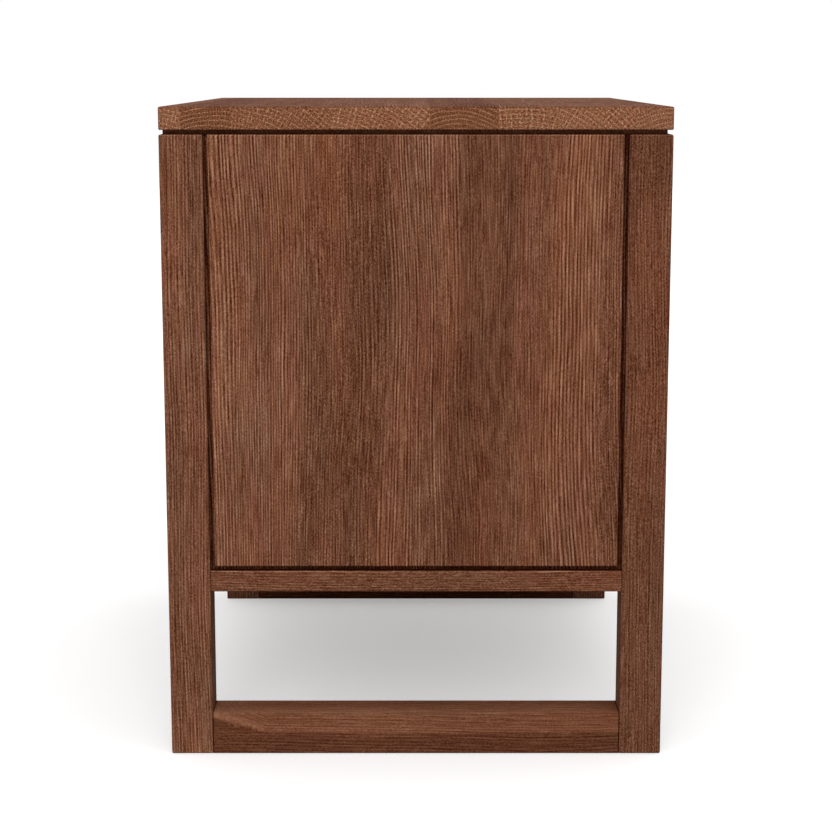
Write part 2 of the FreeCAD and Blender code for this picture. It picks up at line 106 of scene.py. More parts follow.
def even_stops(*colours: Triple) -> Stops:
    """Spaces colours evenly along a ramp.

    Args:
        colours: The colours as display values, from 0 to 255.

    Returns:
        The place and the linear colour of each stop.
    """
    linear = []
    for colour in colours:
        shares = [value / 255 for value in colour]
        linear.append([s / 12.92 if s <= 0.04045 else ((s + 0.055) / 1.055) ** 2.4 for s in shares])
    return [(number / (len(linear) - 1), tuple(colour)) for number, colour in enumerate(linear)]


STAIN = even_stops((49, 13, 3), (81, 37, 18), (114, 69, 47), (146, 98, 74), (179, 132, 104))
OLIVE_STAIN = even_stops((42, 17, 8), (75, 42, 27), (106, 71, 54), (138, 103, 83), (170, 136, 113))
END_STAIN = even_stops((62, 26, 12), (97, 55, 33), (131, 86, 60), (164, 117, 89), (196, 150, 118))
VARNISHED = even_stops((168, 128, 84), (203, 168, 122), (226, 198, 156))


class Wire:
    """A socket of a shader tree, on which shader maths is written as an expression."""

    def __init__(self, recipe: "Recipe", socket: bpy.types.NodeSocket) -> None:
        """Keeps the socket and the recipe that it is part of."""
        self.recipe = recipe
        self.socket = socket

    def output(self, name: str) -> "Wire":
        """Another output of the same node."""
        return Wire(self.recipe, self.socket.node.outputs[name])

    def __add__(self, other: "Wire | float") -> "Wire":
        """The sum."""
        return self.recipe.maths("ADD", self, other)

    __radd__ = __add__

    def __sub__(self, other: "Wire | float") -> "Wire":
        """The difference."""
        return self.recipe.maths("SUBTRACT", self, other)

    def __rsub__(self, other: float) -> "Wire":
        """The difference from a number."""
        return self.recipe.maths("SUBTRACT", other, self)

    def __mul__(self, other: "Wire | float") -> "Wire":
        """The product."""
        return self.recipe.maths("MULTIPLY", self, other)

    __rmul__ = __mul__

    def __pow__(self, other: float) -> "Wire":
        """The power."""
        return self.recipe.maths("POWER", self, other)

    def __abs__(self) -> "Wire":
        """The size without its sign."""
        return self.recipe.maths("ABSOLUTE", self)


class Recipe:
    """A shader tree, written node by node."""

    @property
    def tree(self) -> bpy.types.NodeTree:
        """The tree that is written."""
        raise NotImplementedError

    def node(
        self,
        kind: str,
        settings: dict[str, object] | None = None,
        sockets: dict[str | int, object] | None = None,
        output: str | int = 0,
    ) -> Wire:
        """Adds a node.

        Args:
            kind: The node's type.
            settings: Its own settings, which are set first. A ramp's are its stops and its blend.
            sockets: A value or a wire for each socket that is used.
            output: The output that the rest of the recipe reads.

        Returns:
            The wire from that output.
        """
        node = self.tree.nodes.new(kind)
        for name, value in (settings or {}).items():
            if name == "stops":
                elements = node.color_ramp.elements
                while len(elements) < len(value):
                    elements.new(1.0)
                for element, (place, colour) in zip(elements, value):
                    element.position = place
                    element.color = (*colour, 1.0)[:4]
            elif name == "blend":
                node.color_ramp.interpolation = value
            else:
                setattr(node, name, value)
        for name, value in (sockets or {}).items():
            if isinstance(value, Wire):
                self.tree.links.new(value.socket, node.inputs[name])
            else:
                node.inputs[name].default_value = value
        return Wire(self, node.outputs[output] if len(node.outputs) else None)

    def maths(self, operation: str, *values: Wire | float) -> Wire:
        """One step of maths on numbers."""
        return self.node("ShaderNodeMath", {"operation": operation}, dict(enumerate(values)))

    def vectors(self, operation: str, first: Wire, second: Wire) -> Wire:
        """One step of maths on points or colours."""
        return self.node("ShaderNodeVectorMath", {"operation": operation}, {0: first, 1: second})

    def between(self, value: Wire, low: float, high: float) -> Wire:
        """Rises smoothly from 0, up to the low value, to 1, from the high value on."""
        sockets = {"Value": value, "From Min": low, "From Max": high}
        return self.node("ShaderNodeMapRange", {"interpolation_type": "SMOOTHSTEP"}, sockets)

    def blend(self, share: Wire | float, first: Wire | Triple, second: Wire | Triple) -> Wire:
        """Mixes two colours, with the given share of the second."""
        ends = [c if isinstance(c, Wire) else (*c, 1.0) for c in (first, second)]
        return self.node("ShaderNodeMix", {"data_type": "RGBA"}, {0: share, 6: ends[0], 7: ends[1]}, 2)

    def ramp(self, value: Wire, stops: Stops, blend: str = "LINEAR") -> Wire:
        """The colour that a ramp has at a value."""
        return self.node("ShaderNodeValToRGB", {"stops": stops, "blend": blend}, {0: value})

    def noise(
        self, point: Wire, scale: Triple, shift: float = 0.0, detail: float = 1.0, rough: float = 0.5
    ) -> Wire:
        """Draws soft random values.

        Args:
            point: Where they are read.
            scale: Cells a metre in each direction.
            shift: How far the pattern is moved, which gives each piece its own part of it.
            detail: How many finer layers are added.
            rough: How strong each finer layer is.

        Returns:
            Values around 0, about half of one up or down.
        """
        moves = {"Vector": point, "Location": (shift, shift * 1.7, shift * 2.3), "Scale": scale}
        moved = self.node("ShaderNodeMapping", {}, moves)
        sockets = {"Vector": moved, "Scale": 1.0, "Detail": detail, "Roughness": rough}
        return self.node("ShaderNodeTexNoise", {}, sockets) - 0.5

    def parts(self, point: Wire) -> tuple[Wire, Wire, Wire]:
        """The three coordinates of a point."""
        first = self.node("ShaderNodeSeparateXYZ", {}, {0: point})
        return first, first.output("Y"), first.output("Z")

    def joined(self, x: Wire | float, y: Wire | float, z: Wire | float) -> Wire:
        """The point with these coordinates."""
        return self.node("ShaderNodeCombineXYZ", {}, {0: x, 1: y, 2: z})

    def place(self) -> Wire:
        """Where a point is on the cabinet."""
        return self.node("ShaderNodeTexCoord", {}, {}, "Object")

    def along(self, grain: Axis) -> Wire:
        """Where a point is, turned so that its last coordinate runs along the grain."""
        x, y, z = self.parts(self.place())
        return self.joined(*{Axis.X: (y, z, x), Axis.Y: (z, x, y), Axis.Z: (y, x, z)}[grain])

    def facing(self) -> tuple[Wire, Wire, Wire]:
        """How far the surface faces each axis, from -1 to 1."""
        return self.parts(self.node("ShaderNodeTexCoord", {}, {}, "Normal"))

    def seen(self) -> Wire:
        """Tells the rays that come from the camera, a gloss or a clear surface.

        Returns:
            1 for such a ray, and 0 for any other.
        """
        camera = self.node("ShaderNodeLightPath", {}, {}, "Is Camera Ray")
        rays = camera + camera.output("Is Glossy Ray") + camera.output("Is Transmission Ray")
        return self.maths("MINIMUM", rays, 1.0)

    def surface(self, settings: dict[str, object], height: Wire, depth: float) -> None:
        """Ends the recipe in a surface.

        Args:
            settings: A value or a wire for each socket of the surface's shader.
            height: The relief, from 0 to 1.
            depth: How deep the relief is, in metres.
        """
        bump = {"Height": height, "Distance": depth, "Strength": 1.0}
        sockets = {**settings, "Normal": self.node("ShaderNodeBump", {}, bump)}
        shader = self.node("ShaderNodeBsdfPrincipled", {}, sockets)
        self.node("ShaderNodeOutputMaterial", {}, {"Surface": shader})


@dataclass(frozen=True)
class Finish(Recipe):
    """A finish of the cabinet, which writes its own shader tree.

    Attributes:
        name: The material's name.
    """

    name: str

    @property
    def tree(self) -> bpy.types.NodeTree:
        """The tree of the finish's material."""
        return bpy.data.materials[self.name].node_tree

    def material(self) -> bpy.types.Material:
        """Gives the finish as a material.

        Returns:
            The material, made the first time that it is asked for.
        """
        made = bpy.data.materials.get(self.name)
        if made is None:
            made = bpy.data.materials.new(self.name)
            made.use_nodes = True
            self.tree.nodes.clear()
            self.mix()
        return made

    def mix(self) -> None:
        """Writes the finish into its tree."""
        raise NotImplementedError


@dataclass(frozen=True)
class StainedOak(Finish):
    """Rift-cut oak with open pores under a reddish brown stain and thin matt oil.

    Attributes:
        grain: The way its fibres run.
        tone: How much lighter the board is than the middle of the stain.
        lines: The strength of its lines.
        pitch: How far apart its growth lines are.
        run: How long its finest lines are.
        sway: How far the lines wander sideways.
        speckle: The strength of its fine dots.
        olive: How much of the stain is of its greener kind, from 0 to 1.
        fade: Painted light: how much lighter the board gets along its grain, a metre.
        edge_light: Painted highlight: how much lighter its eased edges are where they look up.
        gloss: How strongly the oil reflects.
        relief: How deep its pores are.
        shift: Which part of the endless pattern the board is cut from.
    """

    grain: Axis = Axis.Z
    tone: float = 0.0
    lines: float = 1.0
    pitch: float = 0.0029
    run: float = 0.022
    sway: float = 0.004
    speckle: float = 1.0
    olive: float = 0.35
    fade: float = 0.0
    edge_light: float = 0.1
    gloss: float = 0.006
    relief: float = 0.00012
    shift: float = 0.0

    def swayed(self, point: Wire) -> Wire:
        """Moves a point sideways, so that lines drawn on it wander.

        Args:
            point: A point whose last coordinate runs along the grain.

        Returns:
            The moved point.
        """
        slow = self.noise(point, (8, 8, 3.5), self.shift)
        quick = self.noise(point, (45, 45, 18), self.shift + 5)
        move = slow * (2 * self.sway) + quick * (0.09 * self.sway)
        return self.vectors("ADD", point, self.joined(move, move, 0.0))

    def growth_point(self, point: Wire) -> Wire:
        """The point at which growth lines are drawn: the same one in a rift-cut board."""
        return point

    def grit(self, bent: Wire) -> tuple[Wire, Wire]:
        """The finest lines and the dots of the wood, both around 0."""
        fine = self.noise(bent, (1000, 1000, 1 / self.run), self.shift + 1, 0.0)
        return fine, self.noise(bent, (1100, 1100, 650), self.shift + 3)

    def figure(self, point: Wire) -> tuple[Wire, Wire]:
        """Draws the figure of the wood.

        Args:
            point: A point whose last coordinate runs along the grain.

        Returns:
            The fine figure, around 0, and the tone of the wood round it, about 0.5 on average.
        """
        bent = self.swayed(point)
        grown = self.growth_point(bent)
        fine, dots = self.grit(bent)
        bands = self.noise(grown, (60, 60, 1.6), self.shift + 4)
        clouds = self.noise(point, (16, 16, 7), self.shift + 6)
        rings = self.rings(grown, self.pitch, 7) * 0.23 + self.rings(grown, self.pitch * 0.73, 8) * 0.16
        detail = (rings + fine * 0.6) * self.lines + dots * (0.85 * self.speckle)
        along = self.parts(point)[2]
        return detail, bands * 0.25 + clouds * 0.2 + along * self.fade + (0.5 + self.tone)

    def rings(self, point: Wire, pitch: float, seed: float) -> Wire:
        """Draws growth lines, which keep their distance from each other.

        Args:
            point: A point whose last coordinate runs along the grain.
            pitch: How far apart the lines are.
            seed: Which part of the endless pattern bends and breaks them.

        Returns:
            Values around 0, about half of one up or down.
        """
        across, deep, _ = self.parts(point)
        bend = self.noise(point, (110, 110, 3.5), self.shift + seed)
        force = self.noise(point, (240, 240, 50), self.shift + seed + 20) + 0.5
        phase = (across + deep * 0.7) * (2 * math.pi / pitch) + bend * 9
        return self.maths("SINE", phase) * force

    def painted_shade(self) -> Wire | float:
        """Painted shade: how much darker the surface is where shade falls on it; none on this wood."""
        return 0.0

    def ledge_shade_and_joints(self, point: Wire) -> Wire:
        """Painted shade: how much darker the surface is on the ledges in the reveals, where shade
        falls.
        """
        return self.shaded_ledge() * 0.4

    def shaded_ledge(self) -> Wire:
        """Finds the ledges in the reveals, over the lower rails and on top of the frames, which get
        painted shade.

        Returns:
            1 on a ledge, and 0 elsewhere.
        """
        height = self.parts(self.place())[2]
        foot = 1 - self.between(abs(height - RAIL_TOP), 0.001, 0.003)
        head = self.between(height, POST_TOP - 0.0075, POST_TOP - 0.0025)
        # Painted shade on the faces that look up in the reveals, at the rails' tops and under the top.
        return self.between(self.facing()[2], 0.85, 0.95) * (head + foot)

    def edge_wear_and_light(self) -> Wire:
        """Finds the eased edges.

        Returns:
            How much lighter they are: a little on all of them for wear, with a painted highlight on
                those that look up and painted shade on those that look down.
        """
        x, y, z = self.facing()
        flatness = self.maths("MAXIMUM", self.maths("MAXIMUM", abs(x), abs(y)), abs(z))
        up, down = self.between(z, 0.3, 0.5), self.between(z * -1, 0.3, 0.5)
        # Painted highlight on the edges that look up, painted shade on those that look down, and a
        # little wear on all of them.
        return (1 - self.between(flatness, 0.85, 0.97)) * (up * self.edge_light - down * 0.2 + 0.04)

    def stained(self, light: Wire, hue: Wire | float) -> Wire:
        """The stain at a lightness, from its reddest kind, 0, to its greenest, 1."""
        return self.blend(hue, self.ramp(light, STAIN), self.ramp(light, OLIVE_STAIN))

    def tinted(self, point: Wire, colour: Wire, scale: Triple, strength: float) -> Wire:
        """Lets the hue of a colour wander.

        Args:
            point: A point whose last coordinate runs along the grain.
            colour: The colour.
            scale: How close together the changes are, as noise cells a metre in each direction.
            strength: How strong they are.

        Returns:
            The new colour.
        """
        slow = self.noise(point, scale, self.shift + 15, 3.0, 0.6) * strength
        quick = self.noise(point, (400, 400, 60), self.shift + 16) * (strength * 0.8)
        return self.vectors("MULTIPLY", colour, self.joined(1.0, slow + 1, slow * 0.9 + quick + 1))

    def oil(self, colour: Wire, light: Wire) -> None:
        """Ends the recipe in oiled wood, which stands the higher the lighter it is."""
        values = {"Roughness": 0.68 - light * 0.14, "Specular IOR Level": self.gloss}
        self.surface({"Base Color": colour, **values}, light, self.relief)

    def mix(self) -> None:
        """Writes the finish into its tree."""
        point = self.along(self.grain)
        detail, tone = self.figure(point)
        # The lightness carries painted shade, from the way a face looks and on the ledges of the
        # reveals, and the painted light and shade of the eased edges.
        tone = tone - self.painted_shade()
        light = detail + tone + self.edge_wear_and_light() - self.ledge_shade_and_joints(point)
        hue = self.noise(point, (22, 22, 5), self.shift + 12) * 1.2 - (tone - 0.5) * 3 + self.olive
        self.oil(self.tinted(point, self.stained(light, hue), (90, 90, 8), 0.3), light)


@dataclass(frozen=True)
class CrownOak(StainedOak):
    """Flat-sawn oak, whose growth lines draw crowns on its faces.

    Attributes:
        heart: Where its tree's middle lies across the board.
        depth: How far under the face that lies in the middle of the board.
        lean: How much nearer it comes along the board, as a share of the way.
    """

    heart: float = 0.0
    depth: float = 0.03
    lean: float = 0.1

    def growth_point(self, point: Wire) -> Wire:
        """Turns the distance across the board into the distance from its tree's middle.

        Args:
            point: A point whose last coordinate runs along the grain.

        Returns:
            The point at which growth lines are drawn.
        """
        deep, across, along = self.parts(point)
        side = across - self.heart
        under = along * self.lean + self.noise(point, (6, 6, 5), self.shift + 9) * 0.02 + self.depth
        return self.joined((side * side + under * under) ** 0.5, deep, along)


@dataclass(frozen=True)
class FrameOak(StainedOak):
    """The oak of a side frame, with painted shade on the face that looks under the cabinet.

    Attributes:
        inward: Which way along X that face looks, 1 or -1.
        inner_shade: How much darker the painted shade makes it.
        back_shade: How much darker painted shade makes the face that looks back.
        joint: How much darker a board between the posts is in its joints with them.
    """

    inward: float = -1.0
    inner_shade: float = 0.16
    back_shade: float = 0.0
    joint: float = 0.0

    def inner(self) -> Wire:
        """Painted shade: how much darker the face is that looks under the cabinet."""
        return self.between(self.facing()[0] * self.inward, 0.6, 0.9) * self.inner_shade

    def painted_shade(self) -> Wire:
        """Painted shade: how much darker the surface is where it looks under the cabinet or back."""
        return self.inner() + self.between(self.facing()[1], 0.6, 0.9) * self.back_shade

    def ledge_shade_and_joints(self, point: Wire) -> Wire:
        """Finds the painted shade on the ledges and the dark joints.

        Args:
            point: A point whose last coordinate runs along the grain.

        Returns:
            How much darker the surface is: painted shade on the ledges of the reveals, and the joints,
                which are dark.
        """
        along = abs(self.parts(point)[2])
        joint = self.between(along, HALF_SPAN - 0.0012, HALF_SPAN - 0.0002)
        return super().ledge_shade_and_joints(point) + joint * self.joint


@dataclass(frozen=True)
class CurledOak(FrameOak):
    """Oak with a dark lower half, whose upper lines fall away from the board's front end.

    Attributes:
        end: Where the rise runs out, counted back from the middle of the cabinet.
        curl: How steeply the upper lines rise towards the front from there, as a share of the way.
        split: How high the dark half reaches.
        contrast: How much darker it is.
        streak: How much lighter the lines are that lie on the dark half where they rise.
    """

    end: float = -0.128
    curl: float = 0.28
    split: float = 0.018
    contrast: float = 0.19
    streak: float = 0.13

    def figure(self, point: Wire) -> tuple[Wire, Wire]:
        """Draws the figure of the wood.

        Args:
            point: A point whose last coordinate runs along the grain.

        Returns:
            The fine figure, around 0, and the tone of the wood round it, about 0.5 on average.
        """
        up, deep, along = self.parts(point)
        rise = self.maths("MAXIMUM", self.end - along, 0.0) * self.curl
        over = up + self.noise(point, (9, 9, 7), self.shift + 9) * 0.006 - rise - self.split
        upper = self.between(over, -0.003, 0.003)
        streaks = self.between(over, -0.001, 0.001) * (1 - self.between(over, 0.002, 0.01))
        detail, tone = super().figure(self.joined(up - rise * upper, deep, along))
        tone = tone + (upper - 0.5) * self.contrast
        tone = tone + streaks * self.between(rise, 0.0, 0.004) * self.streak
        # Painted light: the upward face is lighter, most near its outer edge, and the inner face keeps
        # less of its painted shade towards the ends.
        edge = self.between(abs(deep), HALF_WIDTH - 0.022, HALF_WIDTH - 0.001)
        painted_top_light = self.between(self.facing()[2], 0.8, 0.95) * (edge * 0.07 + 0.07)
        ends = self.between(abs(along), HALF_SPAN - 0.08, HALF_SPAN)
        return detail, tone + painted_top_light + self.inner() * ends * 0.4


@dataclass(frozen=True)
class SpacerOak(StainedOak):
    """The oak of the board under the top, which painted shade darkens towards its foot.

    Attributes:
        fall: How much darker the painted shade makes its foot than its head.
    """

    fall: float = 0.25

    def painted_shade(self) -> Wire:
        """Painted shade: how much darker the board is than at its head."""
        height = self.parts(self.place())[2]
        return (1 - self.between(height, POST_TOP, SPACER_TOP)) * self.fall


@dataclass(frozen=True)
class Leaf:
    """One of the leaves of wood that a side panel is made up of.

    Attributes:
        front: Where it begins, counted back from the middle of the cabinet.
        tone: How much lighter it is than the stain's middle.
        lines: The strength of its close lines.
        bold: The strength of its wider lines.
        speckle: The strength of its fine dots.
    """

    front: float
    tone: float
    lines: float
    bold: float
    speckle: float


PANEL_LEAVES = (
    Leaf(-0.172, 0.1, 0.25, 1.3, 0.9),
    Leaf(-0.153, 0.07, 0.85, 0.3, 0.75),
    Leaf(-0.094, 0.01, 0.5, 0.3, 1.0),
    Leaf(-0.059, -0.04, 0.35, 0.5, 1.0),
    Leaf(-0.026, 0.06, 0.75, 0.65, 0.8),
    Leaf(0.032, -0.08, 0.35, 0.3, 0.75),
    Leaf(0.082, 0.0, 0.4, 0.35, 0.8),
    Leaf(0.116, 0.04, 0.2, 1.2, 0.7),
    Leaf(0.157, -0.01, 0.5, 0.5, 1.0),
)


@dataclass(frozen=True)
class Stave:
    """One of the staves that the top is glued up from.

    Attributes:
        front: Where it begins, counted back from the middle of the cabinet.
        pith_back: How far back its tree's middle lies.
        pith_up: How high its tree's middle lies.
        tone: How much lighter it is than the stain's middle.
        rings: The strength of its growth rings.
    """

    front: float
    pith_back: float
    pith_up: float
    tone: float
    rings: float = 1.0


TOP_STAVES = (
    Stave(-0.210, -0.222, 0.440, 0.06, 1.2),
    Stave(-0.1934, -0.165, 0.470, -0.1, 1.35),
    Stave(-0.152, -0.160, 0.440, -0.02),
    Stave(-0.070, -0.090, 0.420, 0.03),
    Stave(0.0106, 0.034, 0.485, -0.11, 1.35),
    Stave(0.0658, 0.085, 0.400, 0.03),
    Stave(0.1154, 0.080, 0.450, 0.04),
    Stave(0.182, 0.215, 0.480, 0.01),
)


@dataclass(frozen=True)
class GluedOak(StainedOak):
    """Oak that is glued up from strips, each with a figure of its own."""

    def strip(self, back: Wire, start: float, stops: Stops, blend: str) -> tuple[Wire, ...]:
        """Reads the strip at a point.

        Args:
            back: How far back the point is.
            start: Where the first strip begins. The last one ends as far behind the middle.
            stops: The place of each set of four values, and the values, none over 1.
            blend: How one set goes over into the next.

        Returns:
            The four values.
        """
        width = -2 * start
        shares = [((place - start) / width, values) for place, values in stops]
        sockets = {"Value": back, "From Min": start, "From Max": -start}
        found = self.ramp(self.node("ShaderNodeMapRange", {}, sockets), shares, blend)
        return *self.parts(found), found.output("Alpha")


@dataclass(frozen=True)
class PanelOak(GluedOak):
    """A side panel of upright leaves, each with growth lines of its own.

    Attributes:
        leaves: The leaves, from front to back.
        close_pitch: How far apart the close lines are.
        wide_pitch: How far apart the wider lines are.
        soft: How wide the change from one leaf to the next is.
        turned: Whether the panel is turned end for end.
        lean: How far the leaves' edges lean back, as a share of their height.
        middle: The height at which the leaves are at their own places.
    """

    leaves: tuple[Leaf, ...] = PANEL_LEAVES
    close_pitch: float = 0.0024
    wide_pitch: float = 0.0031
    soft: float = 0.013
    turned: bool = False
    lean: float = 0.05
    middle: float = 0.35

    def leaf_stops(self) -> Stops:
        """Lists the leaves' values for a ramp.

        Returns:
            Where each leaf's values begin and end, with its tone plus a half, its close lines, its
            wider lines and half of its dots.
        """
        fronts = [leaf.front for leaf in self.leaves]
        stops = []
        for leaf, end in zip(self.leaves, (*fronts[1:], -fronts[0])):
            values = (leaf.tone + 0.5, leaf.lines, leaf.bold, leaf.speckle / 2)
            stops += [(leaf.front + self.soft / 2, values), (end - self.soft / 2, values)]
        return stops

    def figure(self, point: Wire) -> tuple[Wire, Wire]:
        """Draws the figure of the panel.

        Args:
            point: A point whose last coordinate runs along the grain.

        Returns:
            The fine figure, around 0, and the tone of the wood round it, about 0.5 on average.
        """
        bent = self.swayed(point)
        across = self.parts(bent)[0] + self.noise(point, (7, 7, 3), self.shift + 10) * 0.02
        _, deep, up = self.parts(point)
        if self.turned:
            across = across * -1
        across = across - (up - self.middle) * self.lean
        leaf = self.strip(across, self.leaves[0].front, self.leaf_stops(), "LINEAR")
        tone, lines, bold, speckle = leaf
        fine, dots = self.grit(bent)
        bands = self.noise(bent, (60, 60, 1.2), self.shift + 4)
        clouds = self.noise(point, (18, 18, 6), self.shift + 6)
        close_rings = self.rings(bent, self.close_pitch, 7) * lines * 0.36
        wide_rings = self.rings(bent, self.wide_pitch, 8) * bold * 0.31
        detail = close_rings + wide_rings + fine * 0.55 + dots * speckle * 1.7
        # Painted shade on the panel's faces that lie deeper than its face, in the reveals round it.
        painted_groove_shade = 1 - self.between(abs(deep), HALF_WIDTH - 0.006, HALF_WIDTH - 0.0012)
        return detail - painted_groove_shade * 0.3, bands * 0.14 + clouds * 0.24 + tone + self.tone


@dataclass(frozen=True)
class TopOak(GluedOak):
    """The top's oak: staves along X, whose growth rings and rays show on the two ends.

    Attributes:
        staves: The staves, from front to back.
        reach: The farthest that a tree's middle may be from the cabinet's.
        ring_pitch: How far apart the rings on the ends are.
        ray_pitch: How far apart the rays are, at the distance at which their angle is measured.
        ray_radius: That distance.
    """

    staves: tuple[Stave, ...] = TOP_STAVES
    reach: float = 0.6
    ring_pitch: float = 0.0036
    ray_pitch: float = 0.0025
    ray_radius: float = 0.08

    def stave_stops(self) -> Stops:
        """Lists the staves' values for a ramp.

        Returns:
            Where each stave begins, with the place of its tree's middle, its tone plus a half and
            half the strength of its rings.
        """
        stops = []
        for stave in self.staves:
            pith = (0.5 + stave.pith_back / (2 * self.reach), stave.pith_up / self.reach)
            stops.append((stave.front, (*pith, stave.tone + 0.5, stave.rings / 2)))
        return stops

    def light_lines(self, way: Wire, pitch: float, bend: Wire) -> Wire:
        """Thin light lines, counted along a way in metres and bent by an angle."""
        wave = self.maths("SINE", way * (2 * math.pi / pitch) + bend)
        return self.maths("MAXIMUM", wave, 0.0) ** 2

    def mix(self) -> None:
        """Writes the finish into its tree."""
        place = self.place()
        across, back, up = self.parts(place)
        stave = self.strip(back, self.staves[0].front, self.stave_stops(), "CONSTANT")
        pith_back, pith_up, tone, force = stave
        away = back - (pith_back - 0.5) * (2 * self.reach)
        over = up - pith_up * self.reach
        radius = (away * away + over * over) ** 0.5 + self.noise(place, (90, 90, 90), 3) * 0.0012
        arc = self.maths("ARCTAN2", away, over) * self.ray_radius
        end_point = self.joined(radius, arc, across)
        ring_force = (self.noise(end_point, (350, 90, 2), 1) + 0.6) * force * 0.6
        ring_bend = self.noise(end_point, (70, 25, 2), 11) * 9
        ray_force = (self.noise(end_point, (160, 350, 2), 2) * 2 + 0.4) * 0.33
        ray_bend = self.noise(end_point, (30, 90, 2), 12) * 9
        rings = self.light_lines(radius, self.ring_pitch, ring_bend) * ring_force
        rays = self.light_lines(arc, self.ray_pitch, ray_bend) * ray_force
        pores = self.noise(end_point, (1000, 1000, 40), 4) * 1.45
        clouds = self.noise(place, (30, 30, 30), 5) * 0.12
        end_light = rings + rays + pores + clouds + tone - 0.09
        detail, face_tone = self.figure(self.along(self.grain))
        face_light = detail + face_tone + (tone - 0.5) * 0.7
        end = self.between(abs(self.facing()[0]), 0.75, 0.85)
        end_colour = self.tinted(end_point, self.ramp(end_light, END_STAIN), (220, 220, 2), 0.5)
        colour = self.blend(end, self.stained(face_light, self.olive), end_colour)
        self.oil(colour, face_light + (end_light - face_light) * end)


@dataclass(frozen=True)
class PaleWood(Finish):
    """Pale, close-grained hardwood under clear matt varnish.

    Attributes:
        grain: The way its fibres run.
        shift: Which part of the endless pattern the board is cut from.
        relief: How deep its pores are.
    """

    grain: Axis = Axis.Y
    shift: float = 0.0
    relief: float = 0.00006

    def mix(self) -> None:
        """Writes the finish into its tree."""
        point = self.along(self.grain)
        fine = self.noise(point, (1100, 1100, 30), self.shift, 2.0)
        flecks = self.noise(point, (420, 420, 160), self.shift + 1)
        bands = self.noise(point, (70, 70, 2.5), self.shift + 2, 2.0)
        light = fine * 0.5 + flecks * 0.35 + bands * 0.6 + 0.5
        values = {"Roughness": 0.55 - light * 0.1, "Specular IOR Level": 0.35}
        self.surface({"Base Color": self.ramp(light, VARNISHED), **values}, light, self.relief)


@dataclass(frozen=True)
class RolledZinc(Finish):
    """Sheet steel with bright zinc on it, faintly streaked by the rolls.

    Attributes:
        colour: The colour of the metal.
        rough: How matt it is.
        streaks: How strong the streaks along the sheet are.
        relief: How deep they are.
    """

    colour: Triple = (0.62, 0.63, 0.65)
    rough: float = 0.3
    streaks: float = 1.0
    relief: float = 0.00001

    def mix(self) -> None:
        """Writes the finish into its tree."""
        place = self.place()
        streak = self.noise(place, (1600, 9, 1600), 0.0, 2.0)
        light = streak * self.streaks + self.noise(place, (190, 190, 190), 2) * 0.6 + 0.5
        dark = tuple(share * 0.82 for share in self.colour)
        pale = tuple(min(1.0, share * 1.12) for share in self.colour)
        settings = {
            "Base Color": self.blend(self.between(light, 0.0, 1.0), dark, pale),
            "Roughness": light * 0.16 + (self.rough - 0.08),
            "Metallic": 1.0,
        }
        self.surface(settings, streak + 0.5, self.relief)


@dataclass(frozen=True)
class WhiteFloor(Finish):
    """White studio floor, which keeps the cabinet's shadow and is clear from below.

    Attributes:
        glow: What it is lifted by, where it is seen.
        far_glow: What it is lifted by besides, away from the lamps.
    """

    glow: float = 0.31
    far_glow: float = 0.2

    def mix(self) -> None:
        """Writes the finish into its tree."""
        seen = self.seen()
        x, y, _ = self.parts(self.place())
        far = self.between((x * x + y * y) ** 0.5, 0.6, 2.0)
        white = self.noise(self.place(), (3, 3, 3)) * 0.01 + seen * 0.45 + 0.45
        glow = (far * self.far_glow + self.glow) * seen
        settings = {
            "Base Color": self.joined(white, white, white),
            "Roughness": 1.0,
            "Specular IOR Level": 0.0,
            "Emission Color": self.joined(glow, glow, glow),
            "Emission Strength": 1.0,
        }
        above = self.node("ShaderNodeBsdfPrincipled", {}, settings)
        below = self.node("ShaderNodeNewGeometry", {}, {}, "Backfacing")
        clear = self.node("ShaderNodeBsdfTransparent")
        shader = self.node("ShaderNodeMixShader", {}, {0: below, 1: above, 2: clear})
        self.node("ShaderNodeOutputMaterial", {}, {"Surface": shader})


def dress(node: str, finish: Finish) -> str:
    """Gives a solid of the frame its finish.

    Args:
        node: The solid's name.
        finish: The finish.

    Returns:
        A line for the log.
    """
    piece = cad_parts[node]
    if not piece.material_slots:
        piece.data.materials.append(None)
    for slot in piece.material_slots:
        slot.material = finish.material()
    return f"{node} in {finish.name}"


def solid_boxes(node: str) -> list[tuple[Vector, Vector]]:
    """Finds the separate solids of a node.

    Args:
        node: The node's name.

    Returns:
        The lowest and the highest corner of each solid, in order of place.
    """
    mesh = bmesh.new()
    mesh.from_mesh(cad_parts[node].data)
    bmesh.ops.remove_doubles(mesh, verts=mesh.verts, dist=1e-5)
    seen: set[bmesh.types.BMVert] = set()
    boxes = []
    for first in mesh.verts:
        if first in seen:
            continue
        seen.add(first)
        island = [first]
        for vert in island:
            others = [edge.other_vert(vert) for edge in vert.link_edges]
            island += [other for other in others if other not in seen]
            seen.update(others)
        corners = [[pick(v.co[i] for v in island) for i in range(3)] for pick in (min, max)]
        boxes.append((Vector(corners[0]), Vector(corners[1])))
    mesh.free()
    return sorted(boxes, key=lambda box: tuple(round(value, 5) for value in (*box[0], *box[1])))


def add_object(name: str, data: bpy.types.ID) -> bpy.types.Object:
    """Puts a new object into the scene.

    Args:
        name: Its name.
        data: Its mesh, lamp or camera.

    Returns:
        The object.
    """
    made = bpy.data.objects.new(name, data)
    bpy.context.scene.collection.objects.link(made)
    return made


def add_mesh(name: str, mesh: bmesh.types.BMesh, *finishes: Finish) -> bpy.types.Object:
    """Makes an object of a mesh.

    Args:
        name: The object's name.
        mesh: The mesh, which is used up.
        finishes: Its finishes, in the order of its faces' numbers.

    Returns:
        The object.
    """
    data = bpy.data.meshes.new(name)
    mesh.to_mesh(data)
    mesh.free()
    for finish in finishes:
        data.materials.append(finish.material())
    return add_object(name, data)


